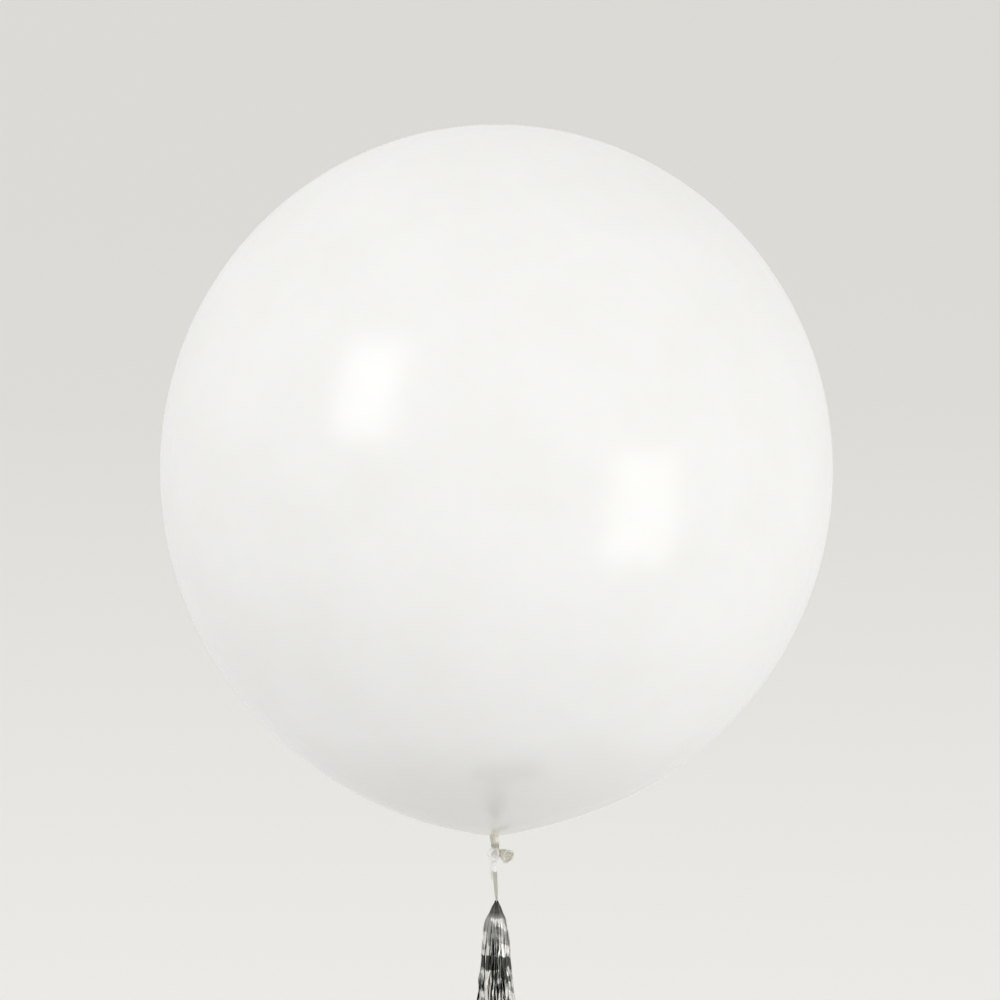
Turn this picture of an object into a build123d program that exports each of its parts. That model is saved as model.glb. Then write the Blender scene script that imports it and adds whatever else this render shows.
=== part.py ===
"""Round latex party balloon, tied off, with a foil tassel hung below its neck on a short ribbon.

Millimetres, +Z up. The origin is on the balloon's axis, where the ribbon is tied round the neck.
Heights below the tassel's tip are called depths, and run downwards from TASSEL_TIP.
"""

import os
from math import exp, radians, tan

from build123d import *

# Balloon: the upper half is half an ellipsoid, the lower half one smooth curve down to the neck.
BALLOON_RADIUS = 419.0
CROWN_RISE = 429.0
NECK_DROP = 455.0
SIDE_PULL = 0.545
UNDER_PULL = 0.535
UNDER_RISE = 0.044
FILM = 0.9

# Neck: a stretched stem, pinched by the ribbon, over an overhand knot with a flared tail.
NECK_TOP = 16.0
NECK_RADIUS = 5.5
PINCH_RADIUS = 4.0
PINCH_HALF = 2.5
BORE_END = 6.0
KNOT_RADIUS = 7.2
KNOT_BOTTOM = -16.5
KNOT_END_RADIUS = 3.6
TAIL_START = Vector(5.0, 0.4, -7.6)
MOUTH_CENTRE = Vector(13.0, -10.0, -11.6)
TAIL_RADIUS = 2.8
MOUTH_RADIUS = 8.0
TAIL_WALL = 0.8
LIP_THICKNESS = 2.6

# Ribbon: wrapped round the pinch, down the front of the knot, hitched, then free to the tassel.
RIBBON_WIDTH = 5.5
RIBBON_THICKNESS = 0.5
WRAP_THICKNESS = 1.0
LEG_WIDTH = 3.0
LEG_PLACES = {"ribbon_leg_left": -3.0, "ribbon_leg_right": 1.4}
LEG_ROUTE = [(-5.35, 0.5), (-8.4, -5.0), (-8.4, -13.0), (-3.0, -17.6)]
HITCH_HALF_WIDTH = 4.0
HITCH_DEPTH = 4.5
HITCH_PIVOT = -21.6
HITCH_BOTTOM = -31.3
SHORT_END_WIDTH = 3.2
SHORT_END_TOP = -26.0
SHORT_END_BOTTOM = -46.0
DROP_ROUTE = [(-1.1, 0.0, -31.8), (-0.9, 0.3, -48.0), (0.0, 0.0, -63.5)]
END_KNOT_TOP = -64.0

# Tassel: a bundle of foil strips folded over the ribbon's end loop.
TASSEL_TIP = -67.5
TASSEL_LENGTH = 300.0
SHOULDER = 16.4
SHOULDER_DEPTH = 20.0
FLARE = 0.06
FOLD_RADIUS = 2.3
BUNDLE_RADIUS = 1.2
LOOP_INNER = 1.6
LOOP_OUTER = 2.0
LOOP_WIDTH = 1.6
END_KNOT_RADIUS = 1.4
HEAD_TOP = 5.0
HEAD_BOTTOM = 30.0
STRIP_WIDTH = 5.0
STRIP_THICKNESS = 0.35
STRIP_GAP = 0.8
STRIP_POINTS = 8
CUT_STEP = 3.5
CUT_STEPS = 5
# One ring of strips each: name, how many, the part of the full half width they hang at, top gap.
RINGS = [
    ("strip_outer", 16, 1.0, STRIP_GAP),
    ("strip_middle", 8, 0.68, 0.0),
    ("strip_core", 6, 0.34, 0.0),
]

# The pull of a Bezier curve that follows a quarter of an ellipse.
QUARTER_PULL = 0.5523
EQUATOR = NECK_TOP + NECK_DROP
FOLD_TOP = TASSEL_TIP - BUNDLE_RADIUS
FOLD_CENTRE = FOLD_TOP - FOLD_RADIUS


def depth_to_z(depth):
    """The height of a point this far below the tassel's tip."""
    return TASSEL_TIP - depth


def tassel_half_width(depth):
    """The tassel swells quickly over its shoulder and then flares slowly to its cut ends."""
    return SHOULDER * (1 - exp(-depth / SHOULDER_DEPTH)) + FLARE * depth


def turned(edges):
    """A solid of revolution about Z, from a closed outline in radius and height."""
    return revolve(Plane.XZ * make_face(edges), Axis.Z)


def chain(points):
    """Straight edges from point to point."""
    return [Line(a, b) for a, b in zip(points, points[1:])]


def balloon_skin(inset):
    """The balloon's half outline from crown to neck, moved inwards by inset."""
    radius = BALLOON_RADIUS - inset
    neck = NECK_RADIUS - inset
    under_height = NECK_TOP + UNDER_RISE * NECK_DROP + inset
    rise = CROWN_RISE - inset
    crown = Bezier(
        (radius, EQUATOR),
        (radius, EQUATOR + QUARTER_PULL * rise),
        (QUARTER_PULL * radius, EQUATOR + rise),
        (0, EQUATOR + rise),
    )
    lower = Bezier(
        (radius, EQUATOR),
        (radius, EQUATOR - SIDE_PULL * NECK_DROP),
        (UNDER_PULL * radius, under_height),
        (neck, NECK_TOP + inset),
    )
    return [crown, lower]


def envelope():
    """The inflated skin with its stretched stem, sealed where the ribbon pinches the neck."""
    stem = chain(
        [
            (NECK_RADIUS, NECK_TOP),
            (PINCH_RADIUS, PINCH_HALF),
            (PINCH_RADIUS, -PINCH_HALF),
            (0, -PINCH_HALF),
            (0, EQUATOR + CROWN_RISE),
        ]
    )
    hollow_end = chain(
        [(NECK_RADIUS - FILM, NECK_TOP + FILM), (0, BORE_END), (0, EQUATOR + CROWN_RISE - FILM)]
    )
    return turned(balloon_skin(0) + stem) - turned(balloon_skin(FILM) + hollow_end)


def neck_knot():
    """The overhand knot in the neck, as its plain outer shape."""
    middle = (KNOT_BOTTOM - PINCH_HALF) / 2
    side = ThreePointArc(
        (PINCH_RADIUS, -PINCH_HALF), (KNOT_RADIUS, middle), (KNOT_END_RADIUS, KNOT_BOTTOM)
    )
    ends = chain([(KNOT_END_RADIUS, KNOT_BOTTOM), (0, KNOT_BOTTOM), (0, -PINCH_HALF)])
    top = Line((0, -PINCH_HALF), (PINCH_RADIUS, -PINCH_HALF))
    return turned([side, *ends, top])


def tail_plane():
    """A plane at the mouth's centre, facing out of the mouth."""
    return Plane(origin=MOUTH_CENTRE, z_dir=MOUTH_CENTRE - TAIL_START)


def neck_tail():
    """The short flared tail of latex between the knot and the rolled lip."""
    length = (MOUTH_CENTRE - TAIL_START).length
    cone = turned(
        chain(
            [
                (TAIL_RADIUS, -length),
                (MOUTH_RADIUS, 0),
                (MOUTH_RADIUS - TAIL_WALL, 0),
                (TAIL_RADIUS - TAIL_WALL, -length),
                (TAIL_RADIUS, -length),
            ]
        )
    )
    return tail_plane() * cone - neck_knot()


def rolled_lip():
    """The thick rolled edge of the mouth, past the end of the tail's thin wall."""
    ring = Torus(MOUTH_RADIUS - TAIL_WALL / 2, LIP_THICKNESS / 2)
    return tail_plane() * (Pos(0, 0, LIP_THICKNESS / 2) * ring)


def ribbon_wraps():
    """The turns of ribbon round the pinched neck."""
    outer = Cylinder(PINCH_RADIUS + WRAP_THICKNESS, 2 * PINCH_HALF)
    return outer - Cylinder(PINCH_RADIUS, 2 * PINCH_HALF)


def flat_band(route, width, thickness):
    """A band of the given width along X, whose section runs along a route in Y and Z."""
    path = Plane.YZ * FilletPolyline(*route, radius=route_radii(route))
    section = Plane(origin=path @ 0, x_dir=(1, 0, 0), z_dir=path % 0) * Rectangle(width, thickness)
    return sweep(section, path)


def route_radii(route):
    """One tangent arc a corner, as large as its two runs leave room for."""
    points = [Vector(*p) for p in route]
    radii = []
    for before, corner, after in zip(points, points[1:], points[2:]):
        turn = (corner - before).get_angle(after - corner)
        run = min((corner - before).length, (after - corner).length)
        radii.append(0.45 * run / tan(radians(turn / 2)))
    return radii


def ribbon_leg(place):
    """One of the two ribbon ends that come down the front of the knot to the hitch."""
    return Pos(place, 0, 0) * flat_band(LEG_ROUTE, LEG_WIDTH, RIBBON_THICKNESS)


def ribbon_hitch():
    """The flat knot in the ribbon, round on top so that it can sway."""
    head = Rot(90, 0, 0) * Cylinder(HITCH_HALF_WIDTH, HITCH_DEPTH)
    height = HITCH_PIVOT - HITCH_BOTTOM
    body = Pos(0, 0, -height / 2) * Box(2 * HITCH_HALF_WIDTH, HITCH_DEPTH, height)
    return Pos(0, 0, HITCH_PIVOT) * (head + body)


def ribbon_short_end():
    """The cut end of the ribbon, beside the hitch."""
    height = SHORT_END_TOP - SHORT_END_BOTTOM
    across = -HITCH_HALF_WIDTH - SHORT_END_WIDTH / 2
    middle = (SHORT_END_TOP + SHORT_END_BOTTOM) / 2
    return Pos(across, 0, middle) * Box(SHORT_END_WIDTH, RIBBON_THICKNESS, height)


def ribbon_drop():
    """The free ribbon between the hitch and the tassel."""
    path = FilletPolyline(*DROP_ROUTE, radius=route_radii(DROP_ROUTE))
    plane = Plane(origin=path @ 0, x_dir=(1, 0, 0), z_dir=path % 0)
    return sweep(plane * Rectangle(RIBBON_WIDTH, RIBBON_THICKNESS), path)


def ribbon_end_knot():
    """The small knot that closes the ribbon's end loop."""
    bottom = FOLD_TOP + LOOP_OUTER
    height = END_KNOT_TOP - bottom
    return Pos(0, 0, bottom + height / 2) * Cylinder(END_KNOT_RADIUS, height)


def ribbon_end_loop():
    """The ribbon's loop under the fold of the foil bundle."""
    ring = Cylinder(LOOP_OUTER, LOOP_WIDTH) - Cylinder(LOOP_INNER, LOOP_WIDTH)
    return Pos(0, 0, FOLD_TOP) * (Rot(0, 90, 0) * ring)


def tassel_fold():
    """The squeezed middle of the foil bundle, bent over the loop like an upturned U."""
    path = Plane.XZ * Wire(
        [
            Line((-FOLD_RADIUS, depth_to_z(HEAD_TOP)), (-FOLD_RADIUS, FOLD_CENTRE)),
            ThreePointArc((-FOLD_RADIUS, FOLD_CENTRE), (0, FOLD_TOP), (FOLD_RADIUS, FOLD_CENTRE)),
            Line((FOLD_RADIUS, FOLD_CENTRE), (FOLD_RADIUS, depth_to_z(HEAD_TOP))),
        ]
    )
    return sweep(Plane(origin=path @ 0, z_dir=path % 0) * Circle(BUNDLE_RADIUS), path)


def outline_down(scale, start, end, inset):
    """A smooth line down the tassel's side, at scale times its half width."""
    depths = [start + (end - start) * i / (STRIP_POINTS - 1) for i in range(STRIP_POINTS)]
    return Spline([(scale * tassel_half_width(d) - inset, depth_to_z(d)) for d in depths])


def tassel_head():
    """The packed foil at the shoulder, where the strips turn down."""
    side = outline_down(1.0, HEAD_TOP, HEAD_BOTTOM, 0)
    top, bottom = side @ 0, side @ 1
    ends = chain([(bottom.X, bottom.Y), (0, bottom.Y), (0, top.Y), (top.X, top.Y)])
    return turned([side, *ends])


def foil_strip(scale, gap, length, turn):
    """One flat strip of foil, hanging from the head at the given turn about Z."""
    outside = outline_down(scale, HEAD_BOTTOM + gap, length, 0)
    inside = outline_down(scale, HEAD_BOTTOM + gap, length, STRIP_THICKNESS)
    ends = [Line(outside @ 0, inside @ 0), Line(outside @ 1, inside @ 1)]
    face = Plane.XZ * make_face([outside, inside, *ends])
    return Rot(0, 0, turn) * extrude(face, amount=STRIP_WIDTH / 2, both=True)


def foil_strips():
    """Every strip by name. The cut ends differ a little in length."""
    strips = {}
    for name, count, scale, gap in RINGS:
        for i in range(count):
            length = TASSEL_LENGTH - CUT_STEP * (3 * i % CUT_STEPS)
            turn = 360 / count * (i + 0.5)
            strips[f"{name}_{i + 1:02d}"] = foil_strip(scale, gap, length, turn)
    return strips


def main():
    parts = {
        "envelope": envelope(),
        "neck_knot": neck_knot(),
        "neck_tail": neck_tail(),
        "rolled_lip": rolled_lip(),
        "ribbon_wraps": ribbon_wraps(),
        "ribbon_hitch": ribbon_hitch(),
        "ribbon_short_end": ribbon_short_end(),
        "ribbon_drop": ribbon_drop(),
        "ribbon_end_knot": ribbon_end_knot(),
        "ribbon_end_loop": ribbon_end_loop(),
        "tassel_fold": tassel_fold(),
        "tassel_head": tassel_head(),
    }
    parts.update({name: ribbon_leg(place) for name, place in LEG_PLACES.items()})
    parts.update(foil_strips())
    os.makedirs("parts", exist_ok=True)
    for name, shape in parts.items():
        export_step(shape, f"parts/{name}.step")
    print(len(parts), "nodes")
    print("ribbon drop radii", [round(r, 1) for r in route_radii(DROP_ROUTE)], "mm")
    print("ribbon leg radii", [round(r, 1) for r in route_radii(LEG_ROUTE)], "mm")


main()
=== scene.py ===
"""Looks of a round white latex balloon with a silver foil tassel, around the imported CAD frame."""

import math
import random

import bmesh
import bpy
import numpy as np
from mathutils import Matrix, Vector


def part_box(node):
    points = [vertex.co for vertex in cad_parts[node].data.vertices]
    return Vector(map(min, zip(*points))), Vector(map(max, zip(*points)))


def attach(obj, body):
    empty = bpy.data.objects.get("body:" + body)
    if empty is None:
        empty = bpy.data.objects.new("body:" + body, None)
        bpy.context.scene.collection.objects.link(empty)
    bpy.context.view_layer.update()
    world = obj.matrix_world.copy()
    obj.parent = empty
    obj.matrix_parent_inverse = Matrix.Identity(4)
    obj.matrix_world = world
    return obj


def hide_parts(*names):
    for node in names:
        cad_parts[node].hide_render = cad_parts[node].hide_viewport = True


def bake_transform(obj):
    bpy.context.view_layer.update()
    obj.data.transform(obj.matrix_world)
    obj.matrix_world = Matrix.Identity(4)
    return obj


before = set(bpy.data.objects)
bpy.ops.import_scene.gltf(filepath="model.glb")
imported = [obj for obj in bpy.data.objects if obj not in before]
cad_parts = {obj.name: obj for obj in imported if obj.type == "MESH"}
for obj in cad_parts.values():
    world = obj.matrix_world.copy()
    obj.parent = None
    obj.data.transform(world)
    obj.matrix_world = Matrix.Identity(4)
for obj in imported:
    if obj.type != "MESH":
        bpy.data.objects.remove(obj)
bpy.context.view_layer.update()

# ---------------------------------------------------------------- sizes, in metres
MM = 0.001
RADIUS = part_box("envelope")[1].x
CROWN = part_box("envelope")[1].z
STEM_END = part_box("envelope")[0].z
PINCH_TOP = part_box("ribbon_wraps")[1].z
CROWN_RISE = 1.0239 * RADIUS
EQUATOR = CROWN - CROWN_RISE
NECK_TOP = PINCH_TOP + 13.5 * MM
NECK_RADIUS = 5.5 * MM
STEM_RADIUS = 5.2 * MM
NECK_LEAN = -1.6 * MM  # along X, so the neck stem leans to the camera's left
NECK_DROP = EQUATOR - NECK_TOP

# The curve from the equator to the neck: how long its first pull is, as a share of the drop, and
# where its second pull lies, as shares of the radius and of the drop.
SIDE_PULL = 0.545
UNDER_PULL = 0.535
UNDER_RISE = 0.044

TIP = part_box("tassel_fold")[1].z
SHOULDER = 16.4 * MM
SHOULDER_DEPTH = 20.0 * MM
FLARE = 0.06  # how much the tassel's half width grows for each metre down
TASSEL_LEAN = -1.0 * MM  # along X, so the tassel hangs a little to the camera's left
CREASE_DEPTH = 77.0 * MM


# ---------------------------------------------------------------- mesh helpers
def smooth_step(t):
    """0 to 1 with level ends."""
    t = min(max(t, 0.0), 1.0)
    return t * t * (3.0 - 2.0 * t)


def unit(vector):
    """The vector scaled to length 1."""
    return vector / np.linalg.norm(vector)


def bezier(points, t):
    """The point at t of a cubic Bezier curve."""
    a, b, c, d = (np.array(p, float) for p in points)
    s = 1.0 - t
    return s**3 * a + 3 * s * s * t * b + 3 * s * t * t * c + t**3 * d


def smooth_line(points, steps):
    """A Catmull-Rom curve through the points, with the given steps from one to the next."""
    p = [np.array(q, float) for q in points]
    p = [2 * p[0] - p[1]] + p + [2 * p[-1] - p[-2]]
    line = []
    for a, b, c, d in zip(p, p[1:], p[2:], p[3:]):
        for t in np.arange(steps) / steps:
            linear = 2 * b + (c - a) * t
            bend = (2 * a - 5 * b + 4 * c - d) * t**2 + (3 * b - a - 3 * c + d) * t**3
            line.append(0.5 * (linear + bend))
    line.append(p[-2])
    return np.array(line)


def tangents(line, closed=False):
    """Unit directions along a line of points."""
    if closed:
        steps = np.roll(line, -1, axis=0) - np.roll(line, 1, axis=0)
    else:
        steps = np.gradient(line, axis=0)
    return steps / np.linalg.norm(steps, axis=1, keepdims=True)


def carried_sides(line, first):
    """A direction across the line at each point, which turns only as the line does."""
    side = np.array(first, float)
    sides = []
    for along in tangents(line):
        side = unit(side - along * side.dot(along))
        sides.append(side)
    return np.array(sides)


def add_rings(bm, rings, closed=False):
    """Adds a closed skin over rings of equal size: capped at its ends, or joined end to end."""
    rows = [[bm.verts.new(p) for p in ring] for ring in rings]
    pairs = list(zip(rows, rows[1:]))
    if closed:
        pairs.append((rows[-1], rows[0]))
    for low, high in pairs:
        for k in range(len(low)):
            m = (k + 1) % len(low)
            bm.faces.new((low[k], low[m], high[m], high[k]))
    if not closed:
        for row in (rows[0], rows[-1]):
            centre = bm.verts.new(sum((v.co for v in row), Vector()) / len(row))
            for k in range(len(row)):
                bm.faces.new((row[k], row[(k + 1) % len(row)], centre))


def piece_from(bm, name, material):
    """Makes a smooth object of the mesh, with its faces turned outwards.

    It keeps each point's place at rest, for patterns that must not slide when a joint bends it.
    """
    bmesh.ops.recalc_face_normals(bm, faces=bm.faces)
    mesh = bpy.data.meshes.new(name)
    bm.to_mesh(mesh)
    bm.free()
    mesh.materials.append(material)
    rest = mesh.attributes.new("rest_place", "FLOAT_VECTOR", "POINT")
    rest.data.foreach_set("vector", [c for v in mesh.vertices for c in v.co])
    mesh.polygons.foreach_set("use_smooth", [True] * len(mesh.polygons))
    piece = bpy.data.objects.new(name, mesh)
    bpy.context.scene.collection.objects.link(piece)
    return piece


def tube_rings(line, radii, sides, ridges, ridge_depth, first=(1, 0.1, 0)):
    """Rings of a tube with lengthwise ridges. first is a direction across the line's start."""
    rings = []
    for point, along, side, radius in zip(line, tangents(line), carried_sides(line, first), radii):
        other = np.cross(along, side)
        ring = []
        for angle in np.arange(sides) * 2 * math.pi / sides:
            r = radius * (1 + ridge_depth * math.cos(ridges * angle))
            ring.append(point + r * (side * math.cos(angle) + other * math.sin(angle)))
        rings.append(ring)
    return rings


def band_rings(line, across, widths, thickness, curls, columns=5, closed=False):
    """Rings of a thin flat band. across gives the width's direction and curls its hollowness."""
    level = 0.33  # the mean of u * u across the band, so a curl does not shift the band
    rings = []
    rows = zip(line, tangents(line, closed), np.array(across, float), widths, curls)
    for point, along, side, width, curl in rows:
        side = unit(side - along * side.dot(along))
        normal = np.cross(along, side)
        face = []
        for u in np.linspace(-1, 1, columns):
            hollow = normal * curl * (u * u - level) * width / 2
            face.append(point + side * u * width / 2 + hollow)
        upper = [p + normal * thickness / 2 for p in face]
        lower = [p - normal * thickness / 2 for p in reversed(face)]
        rings.append(upper + lower)
    return rings


# ---------------------------------------------------------------- colours, linear RGB
SKIN_MEAN = (0.93, 0.93, 0.915)
SKIN_WHITE = (0.94, 0.94, 0.93)
SKIN_CLOUDY = (0.915, 0.914, 0.9)
# Painted shade for the balloon's underside:
SKIN_UNDER_SHADE = (0.79, 0.787, 0.768)
SKIN_CREAM = (0.8, 0.78, 0.71)
# Painted highlight for the stem's right side:
STEM_LIT_RIGHT = (0.93, 0.92, 0.885)
STEM_GATHERED = (0.72, 0.69, 0.6)
KNOT_LIGHT = (0.92, 0.9, 0.85)
THICK_LIGHT = (0.8, 0.775, 0.7)
THICK_DARK = (0.66, 0.635, 0.55)
MOUTH_LIGHT = (0.98, 0.96, 0.92)
MOUTH_DARK = (0.93, 0.9, 0.84)
RIBBON_LIGHT = (0.985, 0.98, 0.97)
RIBBON_DARK = (0.93, 0.925, 0.905)
# Painted shade: the ribbon's back is coloured far darker than its white front.
BACK_SHADE_LIGHT = (0.59, 0.565, 0.5)
BACK_SHADE_DARK = (0.49, 0.465, 0.4)
FOIL_BRIGHT = (0.8, 0.78, 0.73)
# Painted reflections and painted shade for the silver foil:
FOIL_PAINTED_GREY = (0.36, 0.365, 0.35)
FOIL_PAINTED_DEEP = (0.16, 0.163, 0.15)
FOIL_PAINTED_DARK = (0.075, 0.078, 0.07)
PAPER_WALL = (0.85, 0.845, 0.82)
PAPER_FLOOR = (0.97, 0.965, 0.945)
CARD_BLACK = (0.02, 0.02, 0.018)
SKY_WHITE = (1.0, 0.995, 0.98)


# ---------------------------------------------------------------- materials


def new_material(name, color, roughness, metallic=0.0):
    """A Principled material. Returns it with its node tree and shader node."""
    material = bpy.data.materials.new(name)
    material.use_nodes = True
    shader = material.node_tree.nodes["Principled BSDF"]
    shader.inputs["Base Color"].default_value = (*color, 1)
    shader.inputs["Roughness"].default_value = roughness
    shader.inputs["Metallic"].default_value = metallic
    return material, material.node_tree, shader


def rest_place(tree):
    """Each point's place in metres before any joint bends the piece, so patterns never slide."""
    node = tree.nodes.new("ShaderNodeAttribute")
    node.attribute_name = "rest_place"
    return node.outputs["Vector"]


def noise(tree, scale, detail=3.0, stretch=(1, 1, 1)):
    """A noise value over the piece's surface, finer or coarser along each axis."""
    mapping = tree.nodes.new("ShaderNodeMapping")
    mapping.inputs["Scale"].default_value = stretch
    texture = tree.nodes.new("ShaderNodeTexNoise")
    texture.inputs["Scale"].default_value = scale
    texture.inputs["Detail"].default_value = detail
    tree.links.new(rest_place(tree), mapping.inputs["Vector"])
    tree.links.new(mapping.outputs["Vector"], texture.inputs["Vector"])
    return texture.outputs["Fac"]


def streaks(tree, scale):
    """A noise value that changes only round the Z axis, in upright streaks."""
    flat = tree.nodes.new("ShaderNodeVectorMath")
    flat.operation = "MULTIPLY"
    flat.inputs[1].default_value = (1, 1, 0)
    around = tree.nodes.new("ShaderNodeVectorMath")
    around.operation = "NORMALIZE"
    texture = tree.nodes.new("ShaderNodeTexNoise")
    texture.inputs["Scale"].default_value = scale
    tree.links.new(rest_place(tree), flat.inputs[0])
    tree.links.new(flat.outputs[0], around.inputs[0])
    tree.links.new(around.outputs[0], texture.inputs["Vector"])
    return texture.outputs["Fac"]


def spread(tree, value, low, high, low_to=0.0, high_to=1.0):
    """Maps a value from one range to another, held at the ends."""
    node = tree.nodes.new("ShaderNodeMapRange")
    node.inputs["From Min"].default_value = low
    node.inputs["From Max"].default_value = high
    node.inputs["To Min"].default_value = low_to
    node.inputs["To Max"].default_value = high_to
    tree.links.new(value, node.inputs["Value"])
    return node.outputs["Result"]


def mix_color(tree, factor, first, second):
    """Mixes two colours, each given as numbers or as a node's output."""
    node = tree.nodes.new("ShaderNodeMix")
    node.data_type = "RGBA"
    tree.links.new(factor, node.inputs["Factor"])
    for name, color in (("A", first), ("B", second)):
        socket = [s for s in node.inputs if s.name == name and s.type == "RGBA"][0]
        if isinstance(color, tuple):
            socket.default_value = (*color, 1)
        else:
            tree.links.new(color, socket)
    return [s for s in node.outputs if s.type == "RGBA"][0]


def bump(tree, shader, height, strength, distance):
    """Raises the surface's shading by a height value."""
    node = tree.nodes.new("ShaderNodeBump")
    node.inputs["Strength"].default_value = strength
    node.inputs["Distance"].default_value = distance
    tree.links.new(height, node.inputs["Height"])
    tree.links.new(node.outputs["Normal"], shader.inputs["Normal"])


def place_along(tree, axis):
    """Each point's X, Y or Z at rest."""
    split = tree.nodes.new("ShaderNodeSeparateXYZ")
    tree.links.new(rest_place(tree), split.inputs["Vector"])
    return split.outputs[axis]


def height_above(tree, low, high):
    """0 to 1 as the piece's own Z goes from low to high."""
    return spread(tree, place_along(tree, "Z"), low, high)


def combine(tree, operation, *values):
    """Joins values, each a node's output, by one operation such as MULTIPLY, ADD or MAXIMUM."""
    result = values[0]
    for value in values[1:]:
        node = tree.nodes.new("ShaderNodeMath")
        node.operation = operation
        tree.links.new(result, node.inputs[0])
        tree.links.new(value, node.inputs[1])
        result = node.outputs[0]
    return result


def stem_lit_right(tree):
    """1 on the right of the stem, where a painted highlight makes the film paler, as if lit from
    the right.
    """
    right = spread(tree, place_along(tree, "X"), -3.0 * MM, 0.2 * MM)
    over = height_above(tree, PINCH_TOP + 1.5 * MM, PINCH_TOP + 4.5 * MM)
    under = spread(tree, place_along(tree, "Z"), NECK_TOP - 6.0 * MM, NECK_TOP - 2.5 * MM, 1.0, 0.0)
    return combine(tree, "MULTIPLY", right, over, under)


def latex_material():
    """Stretched white latex: glossy, faintly cloudy, grey with painted shade over its underside,
    and creamy where it thickens.
    """
    material, tree, shader = new_material("latex_white", SKIN_MEAN, 0.24)
    cloud = spread(tree, noise(tree, 9.0, 4.0), 0.35, 0.65)
    white = mix_color(tree, cloud, SKIN_CLOUDY, SKIN_WHITE)
    # Painted shade: the skin's colour goes grey from 140 mm above the neck down to 10 mm above it.
    shade_lifted = height_above(tree, NECK_TOP + 10 * MM, NECK_TOP + 140 * MM)
    painted_under_shade = mix_color(tree, shade_lifted, SKIN_UNDER_SHADE, white)
    gathered = height_above(tree, NECK_TOP - 2 * MM, NECK_TOP + 30 * MM)
    creamy = mix_color(tree, gathered, SKIN_CREAM, painted_under_shade)
    inflated = height_above(tree, NECK_TOP - 6 * MM, NECK_TOP + 3 * MM)
    # Painted highlight: the stem is paler on its right, as if lit from that side; elsewhere it
    # keeps the gathered cream.
    stem = mix_color(tree, stem_lit_right(tree), STEM_GATHERED, STEM_LIT_RIGHT)
    tree.links.new(mix_color(tree, inflated, stem, creamy), shader.inputs["Base Color"])
    gloss = spread(tree, noise(tree, 24.0, 5.0), 0.3, 0.7, 0.2, 0.27)
    tree.links.new(gloss, shader.inputs["Roughness"])
    shader.inputs["Subsurface Weight"].default_value = 0.2
    shader.inputs["Subsurface Radius"].default_value = (0.05, 0.046, 0.036)
    shader.inputs["Coat Weight"].default_value = 0.25
    shader.inputs["Coat Roughness"].default_value = 0.16
    bump(tree, shader, noise(tree, 900.0, 3.0), 0.03, 0.2 * MM)
    return material


def thick_latex_material(name, dark, light, translucent=0.2):
    """Unstretched latex at the knot and mouth: cream-white and more matt."""
    material, tree, shader = new_material(name, light, 0.42)
    cloud = spread(tree, noise(tree, 350.0, 4.0), 0.35, 0.65)
    color = mix_color(tree, cloud, dark, light)
    tree.links.new(color, shader.inputs["Base Color"])
    shader.inputs["Subsurface Weight"].default_value = translucent
    shader.inputs["Subsurface Radius"].default_value = (0.003, 0.0026, 0.002)
    bump(tree, shader, noise(tree, 1400.0, 4.0, (1, 1, 0.4)), 0.25, 0.15 * MM)
    return material


def ribbon_material(name, dark, light, roughness, satin):
    """Ribbon with fine lengthwise ribs: satin on its front, dull on its back."""
    material, tree, shader = new_material(name, light, roughness)
    cloud = spread(tree, noise(tree, 500.0, 3.0, (1, 1, 0.25)), 0.3, 0.7)
    tree.links.new(mix_color(tree, cloud, dark, light), shader.inputs["Base Color"])
    shader.inputs["Specular IOR Level"].default_value = 0.5 + 0.5 * satin
    shader.inputs["Coat Weight"].default_value = satin
    shader.inputs["Coat Roughness"].default_value = 0.36
    shader.inputs["Coat IOR"].default_value = 1.8
    ribs = noise(tree, 4200.0, 1.0, (1, 1, 0.02))
    bump(tree, shader, ribs, 0.3, 0.08 * MM)
    return material


def crease_shade_band(tree):
    """1 in the wavy band where the foil was creased in its packing, and 0 elsewhere: where the
    foil's colour gets painted shade.
    """
    wander = spread(tree, noise(tree, 70.0, 2.0), 0.3, 0.7, -5 * MM, 5 * MM)
    height = combine(tree, "ADD", place_along(tree, "Z"), wander)
    middle = TIP - CREASE_DEPTH
    over = spread(tree, height, middle - 9 * MM, middle - 7 * MM)
    under = spread(tree, height, middle + 7 * MM, middle + 9 * MM, 1.0, 0.0)
    return combine(tree, "MULTIPLY", over, under)


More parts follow.
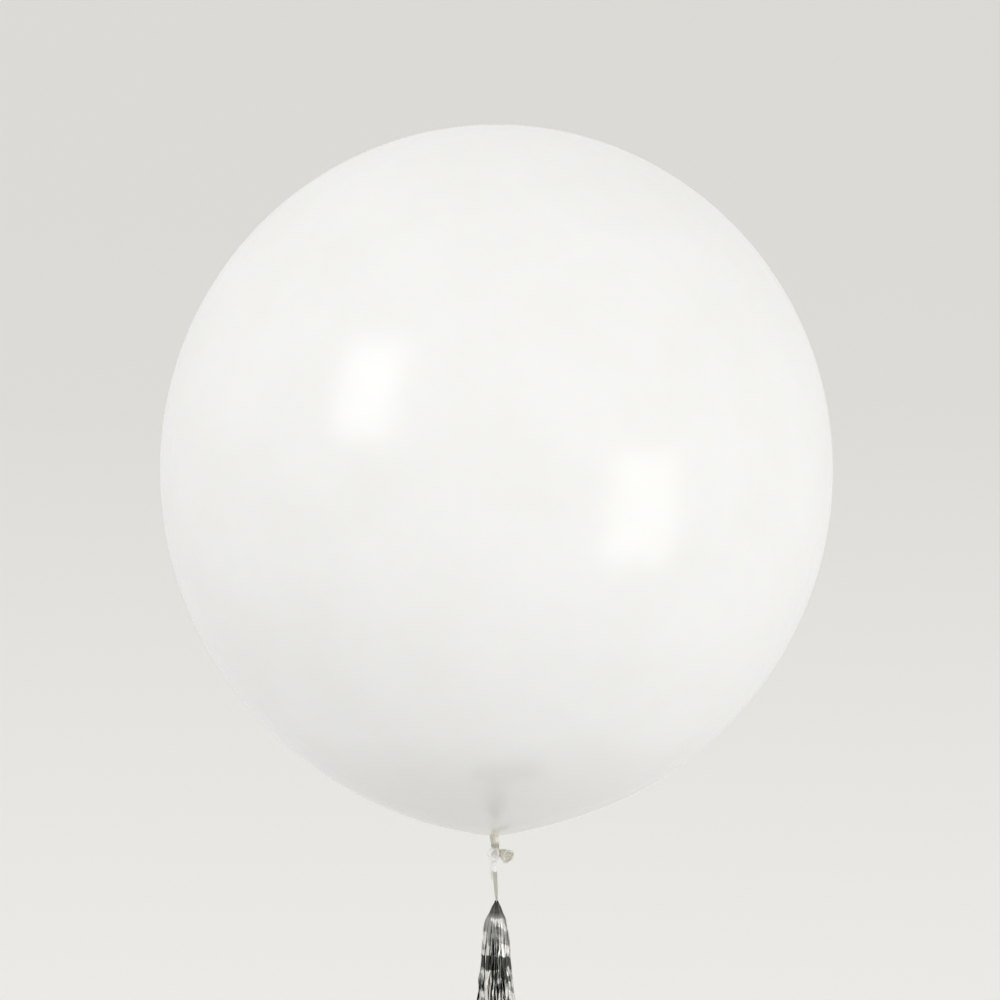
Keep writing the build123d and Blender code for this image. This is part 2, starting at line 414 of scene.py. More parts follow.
def foil_material(name, bright, middle, dark, rough):
    """Mirror-bright foil film, crumpled, with painted reflections: bright, grey and dark patches in
    its colour.

    It is calmer and more matt at the shoulder, and has painted shade at its tip and in its crease.
    """
    material, tree, shader = new_material(name, bright, rough, 1.0)
    # Painted reflections: noise patches turn the metal's colour grey, and dark away from the
    # shoulder.
    reflection_patches = noise(tree, 62.0, 2.5, (1, 1, 0.75))
    shoulder = height_above(tree, TIP - 60 * MM, TIP - 44 * MM)
    painted_grey = mix_color(tree, spread(tree, reflection_patches, 0.5, 0.56), middle, bright)
    kept_light = combine(tree, "MAXIMUM", spread(tree, reflection_patches, 0.4, 0.45), shoulder)
    painted_reflections = mix_color(tree, kept_light, dark, painted_grey)
    # Painted shade: the foil's colour turns dark in the crease band.
    crease_shaded = mix_color(tree, crease_shade_band(tree), painted_reflections, dark)
    # Painted shade: within about 20 mm of the tip the foil's colour is dark, with grey upright
    # streaks.
    tip_streaks = spread(tree, streaks(tree, 16.0), 0.52, 0.72)
    gathered = mix_color(tree, tip_streaks, dark, middle)
    near_tip = height_above(tree, TIP - 22 * MM, TIP - 15 * MM)
    tree.links.new(mix_color(tree, near_tip, crease_shaded, gathered), shader.inputs["Base Color"])
    gloss = spread(tree, noise(tree, 220.0, 4.0), 0.35, 0.75, rough, rough + 0.14)
    matt = spread(tree, shoulder, 0.0, 1.0, 0.0, 0.22)
    tree.links.new(combine(tree, "ADD", gloss, matt), shader.inputs["Roughness"])
    bump(tree, shader, noise(tree, 420.0, 4.0, (1, 1, 0.45)), 0.35, 0.25 * MM)
    return material


# ---------------------------------------------------------------- the balloon
def balloon_outline():
    """Radius and height down the balloon's side, from crown to the bottom of the pinched stem."""
    outline = []
    for angle in np.linspace(0.002, math.pi / 2, 90):
        outline.append((RADIUS * math.sin(angle), EQUATOR + CROWN_RISE * math.cos(angle)))
    under = [
        (RADIUS, EQUATOR),
        (RADIUS, EQUATOR - SIDE_PULL * NECK_DROP),
        (UNDER_PULL * RADIUS, NECK_TOP + UNDER_RISE * NECK_DROP),
        (NECK_RADIUS, NECK_TOP),
    ]
    for t in np.linspace(0, 1, 100)[1:]:
        outline.append(tuple(bezier(under, 0.99 * t)))
    last = np.array(outline[-1])
    slope = last - np.array(outline[-2])
    flare = [
        last,
        last + 3.5 * MM * unit(slope),
        (5.4 * MM, NECK_TOP - 0.5 * MM),
        (STEM_RADIUS, NECK_TOP - 6 * MM),
    ]
    outline += [tuple(bezier(flare, t)) for t in np.linspace(0, 1, 18)[1:]]
    stem = [
        (STEM_RADIUS, NECK_TOP - 6 * MM),
        (STEM_RADIUS, PINCH_TOP + 3 * MM),
        (4.2 * MM, PINCH_TOP - 0.3 * MM),
        (3.8 * MM, 0.0),
        (3.9 * MM, STEM_END),
    ]
    for a, b in zip(stem, stem[1:]):
        for t in np.linspace(0, 1, 6)[1:]:
            outline.append((a[0] + (b[0] - a[0]) * t, a[1] + (b[1] - a[1]) * t))
    return outline


def stem_shift(height):
    """How far along X the middle of the skin's ring lies at a height, as the stem leans."""
    sway = smooth_step((NECK_TOP + 6 * MM - height) / (9 * MM))
    upright = smooth_step((NECK_TOP - 4 * MM - height) / (10 * MM))
    return sway * (NECK_LEAN - 1.2 * MM * (1 - upright))


def underside_shift(x, radius, height):
    """How far the skin lies above its outline beside the neck, where it sags a little.

    To the right of the neck the underside slopes up a little more than to the left.
    """
    if height >= EQUATOR:
        return 0.0
    beside_neck = smooth_step((radius - 6 * MM) / (10 * MM))
    beside_neck *= 1 - smooth_step((radius - 50 * MM) / (170 * MM))
    slope = 0.0225 * (x + math.hypot(x, 20 * MM))
    sag = 1.75 * MM + 1.0 * MM * (1 - smooth_step((radius - 22 * MM) / (28 * MM)))
    return beside_neck * (slope - sag)


def make_envelope(material):
    """The inflated skin, with pleats that run out of the pinched neck over its underside."""
    columns = 240
    outline = np.array(balloon_outline())
    slopes = tangents(outline)
    rings = []
    for (radius, height), (dr, dz) in zip(outline, slopes):
        stem = smooth_step((NECK_TOP + 2 * MM - height) / (8 * MM))
        fade = 1 - smooth_step((radius - 6 * MM) / (60 * MM))
        depth = (0.16 + 0.22 * stem) * MM * fade
        shift = stem_shift(height)
        ring = []
        for angle in np.arange(columns) * 2 * math.pi / columns:
            twist = angle + 0.5 * (height - NECK_TOP) / (20 * MM) * stem
            pleat = math.cos(12 * twist) + 0.6 * math.cos(7 * twist + 1.3)
            pleat += 0.4 * math.cos(19 * twist)
            r = radius - dz * depth * pleat
            x = shift + r * math.cos(angle)
            z = height + dr * depth * pleat + underside_shift(x, radius, height)
            ring.append((x, r * math.sin(angle), z))
        rings.append(ring)
    bm = bmesh.new()
    add_rings(bm, rings)
    piece = piece_from(bm, "balloon_skin", material)
    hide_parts("envelope")
    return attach(piece, "balloon")


def make_knot(material):
    """The overhand knot: the neck's rope of latex goes round itself and out at the side."""
    route = [
        (-1.0, 0.2, -1.6),
        (-0.6, 0.6, -4.4),
        (-0.6, 2.6, -7.4),
        (-3.6, 1.6, -10.2),
        (-3.4, -2.6, -12.0),
        (0.6, -4.4, -11.6),
        (3.9, -1.8, -10.6),
        (3.2, 2.4, -11.6),
        (-0.2, 3.2, -12.8),
        (-1.6, 0.2, -12.6),
        (-0.6, -2.4, -9.2),
        (0.8, -0.4, -7.2),
        (3.2, 1.8, -6.9),
        (5.6, -0.2, -7.8),
    ]
    line = smooth_line(np.array(route) * MM, 9)
    share = np.linspace(0, 1, len(line))
    radii = [(2.75 + 0.35 * math.sin(9 * s) + 0.5 * smooth_step(1 - 6 * s)) * MM for s in share]
    bm = bmesh.new()
    add_rings(bm, tube_rings(line, radii, sides=28, ridges=9, ridge_depth=0.045))
    piece = piece_from(bm, "latex_knot", material)
    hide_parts("neck_knot")
    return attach(piece, "balloon")


# The tail's axis, from inside the knot to the centre of the mouth.
TAIL_START = np.array((5.0, 0.4, -7.6)) * MM
MOUTH_CENTRE = np.array((13.8, -10.0, -11.6)) * MM
MOUTH_RADIUS = 7.7 * MM


def tail_axes():
    """The tail's direction and two directions across it."""
    along = unit(MOUTH_CENTRE - TAIL_START)
    side = unit(np.cross(along, (0, 0, 1)))
    return along, side, np.cross(along, side)


def mouth_point(angle, radius, forward):
    """A point round the tail's axis, forward of the mouth's centre."""
    along, side, other = tail_axes()
    ruffle = 0.7 * MM * math.cos(2 * angle + 0.6) + 0.35 * MM * math.cos(3 * angle)
    swell = 1 + 0.11 * math.cos(3 * (angle - 1.36)) + 0.02 * math.cos(5 * angle)
    centre = MOUTH_CENTRE + along * (forward + ruffle * radius / MOUTH_RADIUS)
    return centre + radius * swell * (side * math.cos(angle) + other * math.sin(angle))


def make_tail(material, inside):
    """The flared, pleated tail of latex past the knot, open at the mouth and paler inside."""
    length = np.linalg.norm(MOUTH_CENTRE - TAIL_START)
    columns = 96
    rows = 22
    neck = 2.5 * MM
    wall = 0.55 * MM
    outer, inner = [], []
    for row in range(rows):
        t = row / (rows - 1)
        radius = neck + (MOUTH_RADIUS - neck) * t**0.75 + 0.5 * MM * math.sin(math.pi * t)
        forward = -length * (1 - t)
        pleat = 0.13 * (1 - t) ** 0.6
        angles = np.arange(columns) * 2 * math.pi / columns
        folds = [1 + pleat * math.cos(9 * a + 0.5) + 0.4 * pleat * math.cos(5 * a) for a in angles]
        outer.append([mouth_point(a, radius * f, forward) for a, f in zip(angles, folds)])
        inner.append([mouth_point(a, (radius - wall) * f, forward) for a, f in zip(angles, folds)])
    bm = bmesh.new()
    add_rings(bm, outer + inner[::-1], closed=True)
    piece = piece_from(bm, "latex_tail", material)
    piece.data.materials.append(inside)
    for face in piece.data.polygons:
        face.material_index = int(face.index >= rows * columns)
    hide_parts("neck_tail")
    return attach(piece, "balloon")


def make_lip(material):
    """The rolled edge of the mouth, a soft uneven bead."""
    columns = 96
    rings = []
    along = tail_axes()[0]
    for angle in np.arange(columns) * 2 * math.pi / columns:
        bead = (1.25 + 0.12 * math.sin(5 * angle) + 0.08 * math.sin(11 * angle)) * MM
        centre = mouth_point(angle, MOUTH_RADIUS, 0.7 * MM)
        out = unit(mouth_point(angle, MOUTH_RADIUS, 0) - MOUTH_CENTRE)
        ring = []
        for turn in np.arange(18) * 2 * math.pi / 18:
            ring.append(centre + bead * (out * math.cos(turn) + along * math.sin(turn)))
        rings.append(ring)
    bm = bmesh.new()
    add_rings(bm, rings, closed=True)
    piece = piece_from(bm, "latex_lip", material)
    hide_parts("rolled_lip")
    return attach(piece, "balloon")


# ---------------------------------------------------------------- the ribbon
RIBBON_WIDTH = 5.5 * MM
RIBBON_THICKNESS = 0.22 * MM

# The ribbon's routes and the middle of its hitch, in millimetres.
DROP_ROUTE = [(-2.1, 0.0, -31.8), (-1.3, 0.3, -48.0), (0.0, 0.0, -63.5)]
DROP_ENDS = [(-2.2, 0.0, -30.2), (0.0, 0.0, -65.2)]
SHORT_ROUTE = [(-5.0, 0.3, -26.3), (-6.7, 0.5, -30.6), (-6.8, 0.9, -38.0), (-7.0, 0.7, -45.8)]
HITCH_CENTRE = -4.3
LEFT_LEG = [
    (-2.9, -1.8, 1.0),
    (-3.9, -2.8, -1.7),
    (-6.8, -4.9, -4.0),
    (-9.6, -6.8, -8.0),
    (-9.6, -6.3, -12.5),
    (-6.4, -3.0, -17.4),
    (-2.0, -0.5, -21.0),
]
RIGHT_LEG = [
    (-0.6, -2.6, 1.0),
    (0.0, -3.9, -1.7),
    (1.1, -6.4, -4.2),
    (2.1, -8.4, -8.0),
    (1.7, -7.9, -13.0),
    (0.1, -3.4, -17.6),
    (-1.0, -0.6, -21.0),
]


def make_wraps(material):
    """Two and a half turns of ribbon, bunched narrow, round the pinched neck."""
    turns = 2.6
    steps = 150
    line, across, widths, curls = [], [], [], []
    for i in range(steps + 1):
        t = i / steps
        angle = -0.9 + turns * 2 * math.pi * t
        radius = (4.6 + 0.45 * t) * MM
        height = (-1.5 + 3.0 * t + 0.35 * math.sin(2.2 * angle)) * MM
        line.append((NECK_LEAN + radius * math.cos(angle), radius * math.sin(angle), height))
        across.append((0.12 * math.cos(angle), 0.12 * math.sin(angle), 1.0))
        widths.append((2.0 + 0.35 * math.sin(0.21 * i)) * MM)
        curls.append(0.22 * math.sin(0.13 * i + 1))
    bm = bmesh.new()
    add_rings(bm, band_rings(np.array(line), across, widths, 0.4 * MM, curls))
    piece = piece_from(bm, "ribbon_turns", material)
    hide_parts("ribbon_wraps")
    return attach(piece, "balloon")


def make_leg(node, route, material):
    """One end of the ribbon, from under the turns, down the front of the knot, into the hitch."""
    line = smooth_line(np.array(route) * MM, 10)
    share = np.linspace(0, 1, len(line))
    across = np.array([(1.0, 0.35 * math.sin(5 * t), 0.1) for t in share])
    widths = [(2.3 + 1.0 * math.sin(math.pi * t)) * MM for t in share]
    curls = [0.3 * math.sin(5 * t + 0.4) for t in share]
    bm = bmesh.new()
    add_rings(bm, band_rings(line, across, widths, 0.3 * MM, curls))
    piece = piece_from(bm, node + "_band", material)
    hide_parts(node)
    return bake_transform(piece)


def hitch_core():
    """Rings of the folded ribbon inside the hitch, from its gathered top to its flat foot."""
    top, bottom = -17.4, -32.5
    rings = []
    for t in np.linspace(0, 1, 40):
        half = 1.5 + 2.0 * smooth_step(3.2 * t) - 1.1 * smooth_step(2.4 * t - 1.4)
        deep = 1.2 + 0.6 * smooth_step(3 * t) - 1.0 * smooth_step(2 * t - 1)
        lean = -0.7 - 3.4 * math.sin(math.pi * t) - 1.1 * t
        ring = []
        for angle in np.arange(48) * 2 * math.pi / 48:
            crease = 1 + 0.14 * math.cos(5 * angle + 2.5 * t) * math.sin(math.pi * t)
            x = lean + half * math.cos(angle)
            y = deep * crease * math.sin(angle)
            ring.append(np.array((x, y, top + (bottom - top) * t)) * MM)
        rings.append(ring)
    return rings


def hitch_band(middle, tilt, width, reach):
    """Rings of a band that crosses the hitch on the slant and goes round behind it.

    middle is its height and reach its half length across, in millimetres as its width is.
    """
    angles = np.arange(96) * 2 * math.pi / 96
    line, across, widths = [], [], []
    for a in angles:
        x = reach * math.cos(a)
        y = 2.5 * math.copysign(abs(math.sin(a)) ** 0.7, math.sin(a))
        line.append((HITCH_CENTRE + x, y, middle + tilt * x))
        across.append((-tilt, 0.0, 1.0))
        widths.append(width * (1 - 0.24 * math.cos(a) ** 2) * MM)
    curls = [0.1 * math.sin(3 * a) for a in angles]
    line = np.array(line) * MM
    return band_rings(line, across, widths, 0.35 * MM, curls, columns=9, closed=True)


def make_hitch(material):
    """The ribbon's flat knot: its folded core with two slanting bands drawn tight round it."""
    bm = bmesh.new()
    add_rings(bm, hitch_core())
    upper = hitch_band(middle=-22.2, tilt=0.34, width=3.6, reach=3.5)
    lower = hitch_band(middle=-25.6, tilt=0.16, width=3.3, reach=3.3)
    add_rings(bm, upper, closed=True)
    add_rings(bm, lower, closed=True)
    piece = piece_from(bm, "ribbon_knot", material)
    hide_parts("ribbon_hitch")
    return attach(piece, "hitch")


def make_short_end(material):
    """The ribbon's spare end, cut on the slant."""
    line = smooth_line(np.array(SHORT_ROUTE) * MM, 14)
    full = 3.2 * MM
    cut = 0.18  # the share of its length that the slanting cut takes
    across, widths = [], []
    for i, t in enumerate(np.linspace(0, 1, len(line))):
        turn = 0.1 + 0.3 * t
        side = np.array((math.cos(turn), math.sin(turn), 0.0))
        width = full * (1 - 0.92 * max((t - 1 + cut) / cut, 0.0))
        line[i] -= side * (full - width) / 2
        across.append(side)
        widths.append(width)
    curls = [0.2 + 0.1 * math.sin(0.3 * i) for i in range(len(line))]
    bm = bmesh.new()
    add_rings(bm, band_rings(line, across, widths, RIBBON_THICKNESS, curls))
    piece = piece_from(bm, "ribbon_spare_end", material)
    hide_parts("ribbon_short_end")
    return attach(piece, "hitch")


def nurbs_line(points):
    """Closely spaced points along the NURBS curve of a route."""
    curve = bpy.data.curves.new("route", "CURVE")
    curve.dimensions = "3D"
    spline = curve.splines.new("NURBS")
    spline.points.add(len(points) - 1)
    for target, point in zip(spline.points, points):
        target.co = (*point, 1)
    spline.use_endpoint_u = True
    spline.order_u = 3
    spline.resolution_u = 16
    holder = bpy.data.objects.new("route", curve)
    mesh = bpy.data.meshes.new_from_object(holder)
    line = np.array([v.co for v in mesh.vertices])
    bpy.data.objects.remove(holder)
    bpy.data.curves.remove(curve)
    bpy.data.meshes.remove(mesh)
    return line


def make_drop(material):
    """The free ribbon, which turns about itself on its way down to the tassel."""
    points = [DROP_ENDS[0], *DROP_ROUTE, DROP_ENDS[1]]
    line = nurbs_line([np.array(p) * MM for p in points])
    across, widths, curls = [], [], []
    for i, t in enumerate(np.linspace(0, 1, len(line))):
        turn = math.radians(12 + 40 * smooth_step(t))
        across.append((math.cos(turn), math.sin(turn), 0.0))
        gather = 0.4 + 0.6 * smooth_step(11 * t) - 0.3 * smooth_step(4 * t - 3)
        widths.append(RIBBON_WIDTH * gather)
        curls.append(0.1 + 0.12 * math.sin(5 * i / len(line)))
    bm = bmesh.new()
    add_rings(bm, band_rings(line, across, widths, RIBBON_THICKNESS, curls, columns=7))
    piece = piece_from(bm, "ribbon_drop_band", material)
    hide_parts("ribbon_drop")
    knot = make_end_knot(material)
    loop = make_end_loop(material)
    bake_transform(piece)
    return piece


def make_end_knot(material):
    """The small knot that closes the end loop."""
    low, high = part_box("ribbon_end_knot")
    turns = 2.2
    steps = 90
    radius = high.x * 0.82
    line, across = [], []
    for t in np.linspace(0, 1, steps):
        angle = 2 * math.pi * turns * t
        height = high.z - (high.z - low.z) * t
        line.append((radius * math.cos(angle), radius * math.sin(angle), height))
        across.append((0.3 * math.cos(angle), 0.3 * math.sin(angle), 1.0))
    bm = bmesh.new()
    widths, curls = [1.1 * MM] * steps, [0.25] * steps
    add_rings(bm, band_rings(np.array(line), across, widths, 0.45 * MM, curls))
    spine = [(0, 0, high.z + 0.3 * MM), (0, 0, (low.z + high.z) / 2), (0, 0, low.z)]
    spine = smooth_line(spine, 8)
    radii = [high.x * 0.7] * len(spine)
    add_rings(bm, tube_rings(spine, radii, sides=16, ridges=5, ridge_depth=0.08))
    piece = piece_from(bm, "end_knot_turns", material)
    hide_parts("ribbon_end_knot")
    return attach(piece, "ribbon_loop")


def make_end_loop(material):
    """The ribbon's loop round the fold of the foil."""
    low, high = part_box("ribbon_end_loop")
    middle = (low.z + high.z) / 2
    radius = high.y - 0.2 * MM
    steps = 48
    angles = np.arange(steps) * 2 * math.pi / steps
    line = np.array([(0, radius * math.cos(a), middle + radius * math.sin(a)) for a in angles])
    across = np.array([(1.0, 0.1 * math.sin(3 * a), 0) for a in angles])
    widths = [(1.15 + 0.1 * math.sin(2 * a)) * MM for a in angles]
    curls = [0.15] * steps
    bm = bmesh.new()
    add_rings(bm, band_rings(line, across, widths, 0.3 * MM, curls, closed=True), closed=True)
    piece = piece_from(bm, "end_loop_band", material)
    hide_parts("ribbon_end_loop")
    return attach(piece, "ribbon_loop")


# ---------------------------------------------------------------- the tassel
FOIL_THICKNESS = 0.14 * MM
OUTER_COUNT = 16


def half_width(depth):
    """The tassel's half width at a depth under its tip, drawn in a little above its shoulder."""
    drawn_in = 1.3 * MM * math.exp(-(((depth - 15 * MM) / (6 * MM)) ** 2))
    return SHOULDER * (1 - math.exp(-depth / SHOULDER_DEPTH)) + FLARE * depth - drawn_in


def lean_at(depth):
    """How far along X the tassel's middle lies at a depth under its tip."""
    return TASSEL_LEAN * smooth_step(depth / (35 * MM))


def wave(rng, shortest, longest, count=3):
    """A smooth irregular wave, from -1 to 1, as a function of distance along a strip."""
    parts = []
    for _ in range(count):
        length = rng.uniform(shortest, longest)
        parts.append((2 * math.pi / length, rng.uniform(0, 2 * math.pi), rng.uniform(0.5, 1)))
    total = sum(p[2] for p in parts)
    return lambda d: sum(p[2] * math.sin(p[0] * d + p[1]) for p in parts) / total


def creases(rng, length, spacing, height):
    """Offsets that run straight between random creases, as a function of distance."""
    places = [0.0]
    while places[-1] < length + spacing:
        places.append(places[-1] + spacing * rng.uniform(0.45, 1.5))
    heights = [rng.uniform(-height, height) for _ in places]
    return lambda d: float(np.interp(d, places, heights))


def foil_strip(bm, rng, turn, share, start, length, width, looseness=1.0):
    """Adds one foil strip that leaves the tassel's shoulder and hangs, creased and a little curled.

    turn is its place round the tassel, and share its part of the tassel's half width. start and
    length are the depths of its two ends under the tip.
    """
    row_height = 2.6 * MM
    rows = int((length - start) / row_height)
    radial = wave(rng, 70 * MM, 150 * MM)
    sideways = wave(rng, 80 * MM, 190 * MM)
    ripple = creases(rng, length, 12 * MM, 1.1 * MM)
    tilt = creases(rng, length, 15 * MM, 0.3)
    roll = wave(rng, 60 * MM, 160 * MM)
    hollow = wave(rng, 40 * MM, 100 * MM)
    final_roll = rng.uniform(-1.0, 1.0)
    line, across, widths, curls = [], [], [], []
    for depth in np.linspace(start, length, rows):
        free = smooth_step((depth - 24 * MM) / (150 * MM)) * looseness
        loose = smooth_step((depth - 8 * MM) / (30 * MM))
        crease = math.exp(-(((depth - CREASE_DEPTH) / (9 * MM)) ** 2))
        slim = 1 - 0.1 * smooth_step(depth / (60 * MM))
        radius = share * slim * half_width(depth) + loose * ripple(depth) - 0.4 * MM * crease
        radius += 3.2 * MM * free * (radial(depth) - 0.15)
        radius = max(radius, share * 2.3 * MM)
        shift = 4.5 * MM * free * sideways(depth)
        out = np.array((math.cos(turn), math.sin(turn), 0.0))
        round_about = np.array((-math.sin(turn), math.cos(turn), 0.0))
        middle = np.array((lean_at(depth), 0, TIP - depth))
        line.append(out * radius + round_about * shift + middle)
        crumple = loose * (0.35 + 0.65 * smooth_step((depth - 40 * MM) / (40 * MM)))
        angle = crumple * tilt(depth) + free * (0.75 * roll(depth) + final_roll)
        across.append(round_about * math.cos(angle) + out * math.sin(angle))
        gather = 0.16 + 0.84 * smooth_step((depth - 1 * MM) / (25 * MM))
        widths.append(width * gather)
        curls.append(0.18 * hollow(depth) - 0.16 * (1 - free))
    add_rings(bm, band_rings(np.array(line), across, widths, FOIL_THICKNESS, curls))


def make_outer_strips(material):
    """The outer ring: each piece is a pair of strips."""
    for index in range(OUTER_COUNT):
        node = f"strip_outer_{index + 1:02d}"
        rng = random.Random(100 + index)
        turn = 2 * math.pi * (index + 0.5) / OUTER_COUNT
        bm = bmesh.new()
        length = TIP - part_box(node)[0].z
        first = (2.2 + 0.5 * (index % 3)) * MM
        foil_strip(bm, rng, turn, share=1.0, start=first, length=length, width=5.6 * MM)
        between = turn + math.radians(9.5 if index % 2 == 0 else -9.5)
        cut = length - rng.uniform(2, 20) * MM
        foil_strip(bm, rng, between, share=0.92, start=3.4 * MM, length=cut, width=5.2 * MM)
        piece = piece_from(bm, f"foil_outer_{index + 1:02d}", material)
        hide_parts(node)
        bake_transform(piece)


def make_inner_strips(material):
    """The middle and core rings, which hang from the head."""
    start = 24 * MM
    for name, count, share, paired in (("middle", 8, 0.68, True), ("core", 6, 0.34, False)):
        for index in range(count):
            node = f"strip_{name}_{index + 1:02d}"
            rng = random.Random(300 + 20 * count + index)
            turn = 2 * math.pi * (index + 0.5) / count
            bm = bmesh.new()
            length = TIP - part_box(node)[0].z
            foil_strip(bm, rng, turn, share, start, length, 5.2 * MM, looseness=0.8)
            if paired:
                cut = length - rng.uniform(2, 16) * MM
                aside = turn + math.pi / count
                foil_strip(bm, rng, aside, share * 0.9, start, cut, 5.0 * MM, looseness=0.8)
            piece = piece_from(bm, f"foil_{name}_{index + 1:02d}", material)
            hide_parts(node)
            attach(piece, "tassel")


def make_head(material):
    """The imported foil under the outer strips, with upright folds."""
    low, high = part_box("tassel_head")
    top = TIP - high.z
    bottom = TIP - low.z
    rings = []
    for depth in np.linspace(top, bottom, 30):
        radius = 0.86 * half_width(depth) - 0.3 * MM
        ring = []
        for angle in np.arange(120) * 2 * math.pi / 120:
            fold = 0.06 * math.cos(15 * angle + 40 * depth / SHOULDER)
            fold += 0.04 * math.cos(23 * angle)
            r = radius * (1 + fold)
            ring.append((lean_at(depth) + r * math.cos(angle), r * math.sin(angle), TIP - depth))
        rings.append(ring)
    bm = bmesh.new()
    add_rings(bm, rings)
    piece = piece_from(bm, "foil_head", material)
    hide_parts("tassel_head")
    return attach(piece, "tassel")


def make_fold(material):
    """The squeezed bundle, bent over the ribbon's loop."""
    low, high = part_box("tassel_fold")
    reach = high.x - 1.8 * MM
    top = high.z - 0.9 * MM
    line = []
    for angle in np.linspace(0, math.pi, 25):
        line.append((-reach * math.cos(angle), 0, top - reach + reach * math.sin(angle)))
    line = [(-reach, 0, low.z - 1 * MM)] + line + [(reach, 0, low.z - 1 * MM)]
    line = smooth_line(line, 3)
    radii = [0.9 * MM] * len(line)
    rings = tube_rings(line, radii, sides=36, ridges=11, ridge_depth=0.1, first=(0, 1, 0.1))
    bm = bmesh.new()
    add_rings(bm, rings)
    piece = piece_from(bm, "foil_fold", material)
    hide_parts("tassel_fold")
    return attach(piece, "tassel")


# ---------------------------------------------------------------- the studio
def backdrop_material():
    """Matt pale paper, a little paler on the floor than up the wall."""
    material, tree, shader = new_material("backdrop_pale", PAPER_WALL, 0.9)
    up_wall = height_above(tree, -1.4, 0.8)
    tree.links.new(mix_color(tree, up_wall, PAPER_FLOOR, PAPER_WALL), shader.inputs["Base Color"])
    return material


def make_bowl():
    """A seamless pale floor that curves up into a wall all round, seen by the camera only."""
    floor, wall, height, curve = -1.5, 10.0, 12.0, 3.0
    outline = [(0.01, floor), (wall - curve, floor)]
    for angle in np.linspace(0, math.pi / 2, 16)[1:]:
        out = wall - curve + curve * math.sin(angle)
        outline.append((out, floor + curve - curve * math.cos(angle)))
    outline.append((wall, height))
    bm = bmesh.new()
    angles = np.arange(96) * 2 * math.pi / 96
    rows = []
    for radius, z in outline:
        rows.append([bm.verts.new((radius * math.cos(a), radius * math.sin(a), z)) for a in angles])
    bm.faces.new(rows[0][::-1])
    for low, high in zip(rows, rows[1:]):
        for k in range(len(low)):
            m = (k + 1) % len(low)
            bm.faces.new((low[k], low[m], high[m], high[k]))
    bowl = piece_from(bm, "studio_bowl", backdrop_material())
    bowl.data.flip_normals()
    bowl.visible_diffuse = False
    bowl.visible_glossy = False
    bowl.visible_transmission = False
    bowl.visible_shadow = False
    return bowl


def make_world():
    """Soft light from all round: stronger from above and the right, weaker from straight below."""
    world = bpy.data.worlds.new("studio_light")
    bpy.context.scene.world = world
    world.use_nodes = True
    tree = world.node_tree
    place = tree.nodes.new("ShaderNodeTexCoord")
    split = tree.nodes.new("ShaderNodeSeparateXYZ")
    tree.links.new(place.outputs["Generated"], split.inputs["Vector"])
    from_above = spread(tree, split.outputs["Z"], -1.0, 1.0, 0.775, 0.872)
    from_below = spread(tree, split.outputs["Z"], -1.0, -0.7, 0.8, 1.0)
    from_right = spread(tree, split.outputs["X"], -1.0, 1.0, 0.98, 1.03)
    level = combine(tree, "MULTIPLY", from_above, from_below, from_right)
    background = tree.nodes["Background"]
    background.inputs["Color"].default_value = (*SKY_WHITE, 1)
    tree.links.new(level, background.inputs["Strength"])


def make_card(name, centre, half_x, half_z):
    """A black upright card that only reflections see. It gives the mirror foil its dark parts."""
    x, y, z = centre
    bm = bmesh.new()
    corners = ((-half_x, -half_z), (half_x, -half_z), (half_x, half_z), (-half_x, half_z))
    bm.faces.new([bm.verts.new((x + across, y, z + up)) for across, up in corners])
    card = piece_from(bm, name, new_material(name, CARD_BLACK, 0.9)[0])
    card.visible_camera = False
    card.visible_diffuse = False
    card.visible_transmission = False
    card.visible_shadow = False
    return card


SOFTBOX_DISTANCE = 2.58


def make_softbox(name, direction, width, height, radiance):
    """A soft light box that faces the balloon's middle from the given direction."""
    light = bpy.data.lights.new(name, "AREA")
    light.shape = "RECTANGLE"
    light.size = width
    light.size_y = height
    light.energy = radiance * math.pi * width * height
    middle = Vector((0, 0, EQUATOR))
    box = bpy.data.objects.new(name, light)
    bpy.context.scene.collection.objects.link(box)
    box.location = middle + Vector(direction).normalized() * SOFTBOX_DISTANCE
    box.rotation_euler = (middle - box.location).to_track_quat("-Z", "Y").to_euler()
    box.visible_camera = False
    return box


def make_camera():
    """Level with the balloon, straight in front of it."""
    distance = 5.0
    to_the_right = 4.4 * MM
    height = 432.5 * MM
    frame_width = 1.25
    sensor = 36.0
    data = bpy.data.cameras.new("camera")
    data.sensor_width = sensor
    data.lens = sensor * distance / frame_width
    camera = bpy.data.objects.new("camera", data)
    bpy.context.scene.collection.objects.link(camera)
    camera.location = (to_the_right, -distance, height)
    camera.rotation_euler = (math.pi / 2, 0, 0)
    bpy.context.scene.camera = camera


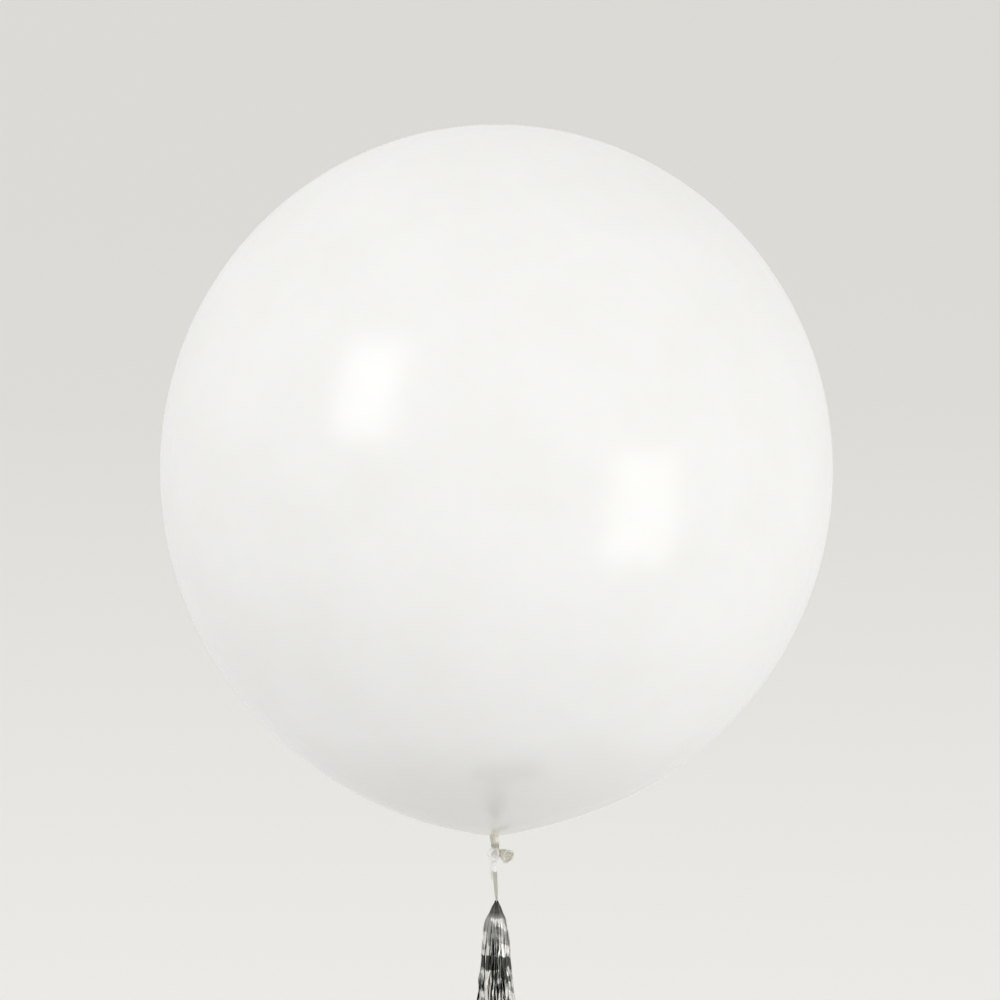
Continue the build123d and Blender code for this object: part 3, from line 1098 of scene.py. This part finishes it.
def build():
    """Makes the materials, the camera, the cord, the other pieces and the studio."""
    latex = latex_material()
    knotted = thick_latex_material("latex_knotted", THICK_LIGHT, KNOT_LIGHT)
    thick = thick_latex_material("latex_thick", THICK_DARK, THICK_LIGHT)
    inside = thick_latex_material("latex_inside", MOUTH_DARK, MOUTH_LIGHT, translucent=0.4)
    front = ribbon_material("ribbon_front", RIBBON_DARK, RIBBON_LIGHT, roughness=0.4, satin=1.0)
    # The back is the same ribbon with painted shade in its colour, used on the drop and on the
    # turns round the neck, besides its duller finish.
    shaded_back = ribbon_material("ribbon_back_shaded", BACK_SHADE_DARK, BACK_SHADE_LIGHT, roughness=0.55, satin=0.0)
    foil = foil_material("foil_silver", FOIL_BRIGHT, FOIL_PAINTED_GREY, FOIL_PAINTED_DARK, rough=0.1)
    # Painted shade: the packed head and fold and the inner strips get darker copies of the silver
    # foil.
    packed_shaded = foil_material("foil_packed_shaded", FOIL_PAINTED_GREY, FOIL_PAINTED_GREY, FOIL_PAINTED_DARK, rough=0.22)
    deep = foil_material("foil_inner_shaded", FOIL_PAINTED_GREY, FOIL_PAINTED_DEEP, FOIL_PAINTED_DARK, rough=0.2)
    make_camera()
    make_drop(shaded_back)
    make_envelope(latex)
    make_knot(knotted)
    make_tail(thick, inside)
    make_lip(thick)
    # The turns take the darker back colour as painted shade where they bunch into the pinch.
    make_wraps(shaded_back)
    make_leg("ribbon_leg_left", LEFT_LEG, front)
    make_leg("ribbon_leg_right", RIGHT_LEG, front)
    make_hitch(front)
    make_short_end(front)
    make_fold(packed_shaded)
    make_head(packed_shaded)
    make_outer_strips(foil)
    make_inner_strips(deep)
    make_bowl()
    make_world()
    make_card("card_front", centre=(0.024, -0.16, -0.16), half_x=0.07, half_z=0.11)
    left, right = (-0.626, -0.684, 0.374), (0.717, -0.673, -0.181)
    make_softbox("softbox_left", left, width=0.88, height=1.3, radiance=2.1)
    make_softbox("softbox_right", right, width=1.08, height=1.36, radiance=1.9)
    bpy.context.scene.view_settings.view_transform = "Standard"


build()
